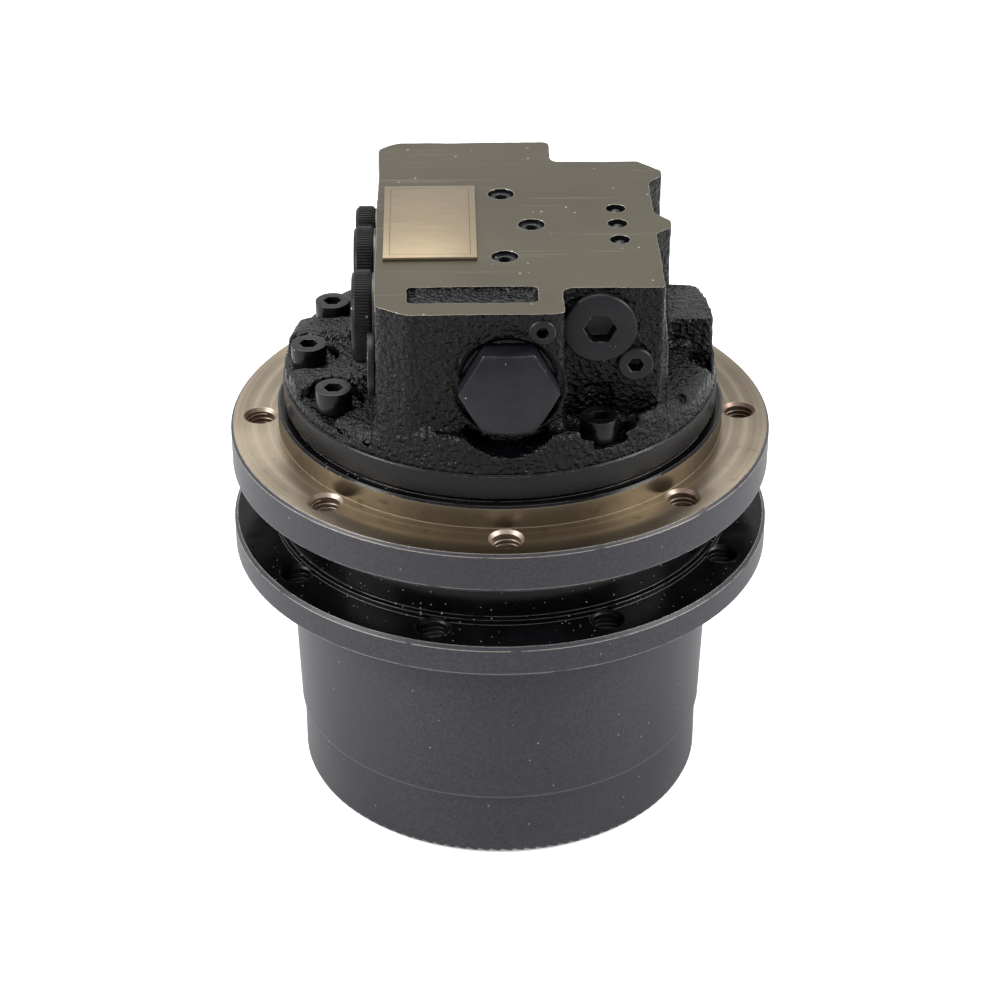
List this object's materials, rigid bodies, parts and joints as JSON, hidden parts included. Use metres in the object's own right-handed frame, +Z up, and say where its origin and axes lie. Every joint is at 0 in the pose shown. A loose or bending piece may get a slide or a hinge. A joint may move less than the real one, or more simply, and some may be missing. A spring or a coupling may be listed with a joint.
{
  "type": "travel final drive",
  "caption": "Travel final drive for a tracked machine: a planetary sprocket housing on a fixed spindle flange, with a hydraulic motor and valve block on top.",
  "frame": {"origin": "on the spin axis, at the level of the drum's bottom rim", "axes": "+Z up the spin axis towards the valve block; -Y towards the large hexagon plug; -X towards the knurled port plugs"},
  "size_m": [0.201, 0.201, 0.2258],
  "materials": {
    "frame_steel": "turned bare steel, fine concentric marks",
    "housing_paint": "matte dark grey paint over cast iron",
    "casting_paint": "semi-gloss black paint over rough cast iron",
    "gear_steel": "hardened ground steel",
    "bearing_steel": "bright ground steel",
    "black_steel": "satin black oxide",
    "bronze": "plain bronze",
    "seal_rubber": "black nitrile rubber",
    "cap_plastic": "moulded black plastic",
    "plate_metal": "brushed champagne anodised",
    "washer_steel": "zinc-plated steel",
    "friction": "sintered friction facing on steel",
    "spring_steel": "oiled spring steel"
  },
  "bodies": {
    "frame_side": {"spindle": "frame_steel", "inner_races": "bearing_steel", "spindle_seal_ring": "bearing_steel", "spindle_seal_rubber": "seal_rubber", "second_carrier": "gear_steel", "carrier_screws": "black_steel", "second_pins": "bearing_steel", "second_pin_rings": "black_steel", "second_bushes": "bronze", "front_shaft_bearing": "bearing_steel", "rear_shaft_bearing": "bearing_steel", "shaft_seal": "seal_rubber", "swash_plate": "gear_steel", "valve_plate": "bronze", "brake_plates": "bearing_steel", "brake_springs": "spring_steel", "cover_joint_seal": "seal_rubber", "motor_cover": "casting_paint", "cover_screws": "black_steel", "spool_plugs": "black_steel", "spool_springs": "spring_steel", "port_plugs": "cap_plastic", "port_washers": "washer_steel", "side_plug": "black_steel", "face_plugs": "black_steel", "top_plugs": "black_steel", "ball_plugs": "bearing_steel", "name_plate": "plate_metal"},
    "housing": {"sprocket_housing": "housing_paint", "end_cover": "gear_steel", "oil_plugs": "black_steel", "end_cover_ring": "black_steel", "end_cover_seal": "seal_rubber", "outer_races": "bearing_steel", "housing_seal_ring": "bearing_steel", "housing_seal_rubber": "seal_rubber"},
    "motor_rotor": {"drive_shaft": "gear_steel", "first_sun": "gear_steel", "first_sun_ring": "black_steel", "cylinder_block": "gear_steel", "pistons": "bronze", "slipper_retainer": "bronze", "friction_discs": "friction"},
    "first_carrier_body": {"first_carrier": "gear_steel", "first_pins": "bearing_steel", "first_pin_rings": "black_steel", "thrust_washers": "bronze", "first_bushes": "bronze", "second_sun": "gear_steel"},
    "first_planet_1_body": {"first_planet_1": "gear_steel"},
    "second_planet_1_body": {"second_planet_1": "gear_steel"},
    "first_planet_2_body": {"first_planet_2": "gear_steel"},
    "second_planet_2_body": {"second_planet_2": "gear_steel"},
    "first_planet_3_body": {"first_planet_3": "gear_steel"},
    "second_planet_3_body": {"second_planet_3": "gear_steel"},
    "lower_rollers": {"lower_roller_set": "bearing_steel"},
    "upper_rollers": {"upper_roller_set": "bearing_steel"},
    "brake_piston_body": {"brake_piston": "gear_steel", "brake_piston_seal": "seal_rubber"},
    "spool_body": {"counterbalance_spool": "bearing_steel"}
  },
  "joints": [
    {"name": "housing_spin", "type": "hinge", "parent": "frame_side", "child": "housing", "pos_m": [0, 0, 0.109], "axis": [0, 0, 1], "continuous": true},
    {"name": "motor_spin", "type": "hinge", "parent": "frame_side", "child": "motor_rotor", "pos_m": [0, 0, 0.08], "axis": [0, 0, 1], "continuous": true},
    {"name": "carrier_spin", "type": "hinge", "parent": "frame_side", "child": "first_carrier_body", "pos_m": [0, 0, 0.033], "axis": [0, 0, 1], "continuous": true},
    {"name": "first_planet_1_spin", "type": "hinge", "parent": "first_carrier_body", "child": "first_planet_1_body", "pos_m": [0.039, 0, 0.0207], "axis": [0, 0, 1], "continuous": true},
    {"name": "second_planet_1_spin", "type": "hinge", "parent": "frame_side", "child": "second_planet_1_body", "pos_m": [0.042, 0, 0.047], "axis": [0, 0, 1], "continuous": true},
    {"name": "first_planet_2_spin", "type": "hinge", "parent": "first_carrier_body", "child": "first_planet_2_body", "pos_m": [-0.0195, 0.03377, 0.0207], "axis": [0, 0, 1], "continuous": true},
    {"name": "second_planet_2_spin", "type": "hinge", "parent": "frame_side", "child": "second_planet_2_body", "pos_m": [-0.021, 0.03637, 0.047], "axis": [0, 0, 1], "continuous": true},
    {"name": "first_planet_3_spin", "type": "hinge", "parent": "first_carrier_body", "child": "first_planet_3_body", "pos_m": [-0.0195, -0.03377, 0.0207], "axis": [0, 0, 1], "continuous": true},
    {"name": "second_planet_3_spin", "type": "hinge", "parent": "frame_side", "child": "second_planet_3_body", "pos_m": [-0.021, -0.03637, 0.047], "axis": [0, 0, 1], "continuous": true},
    {"name": "lower_rollers_spin", "type": "hinge", "parent": "frame_side", "child": "lower_rollers", "pos_m": [0, 0, 0.072], "axis": [0, 0, 1], "continuous": true},
    {"name": "upper_rollers_spin", "type": "hinge", "parent": "frame_side", "child": "upper_rollers", "pos_m": [0, 0, 0.105], "axis": [0, 0, 1], "continuous": true},
    {"name": "brake_release", "type": "slide", "parent": "frame_side", "child": "brake_piston_body", "axis": [0, 0, 1], "range_m": [0, 0.001], "deforming": ["brake_springs"]},
    {"name": "spool_shift", "type": "slide", "parent": "frame_side", "child": "spool_body", "axis": [0, 1, 0], "range_m": [-0.004, 0.004]}
  ],
  "couplings": [
    {"joint": "motor_spin", "follows": "housing_spin", "ratio": -29.333},
    {"joint": "carrier_spin", "follows": "housing_spin", "ratio": -3.6667},
    {"joint": "first_planet_1_spin", "follows": "housing_spin", "ratio": 11.407},
    {"joint": "second_planet_1_spin", "follows": "housing_spin", "ratio": 2.75},
    {"joint": "first_planet_2_spin", "follows": "housing_spin", "ratio": 11.407},
    {"joint": "second_planet_2_spin", "follows": "housing_spin", "ratio": 2.75},
    {"joint": "first_planet_3_spin", "follows": "housing_spin", "ratio": 11.407},
    {"joint": "second_planet_3_spin", "follows": "housing_spin", "ratio": 2.75},
    {"joint": "lower_rollers_spin", "follows": "housing_spin", "ratio": 0.53158},
    {"joint": "upper_rollers_spin", "follows": "housing_spin", "ratio": 0.5252}
  ]
}
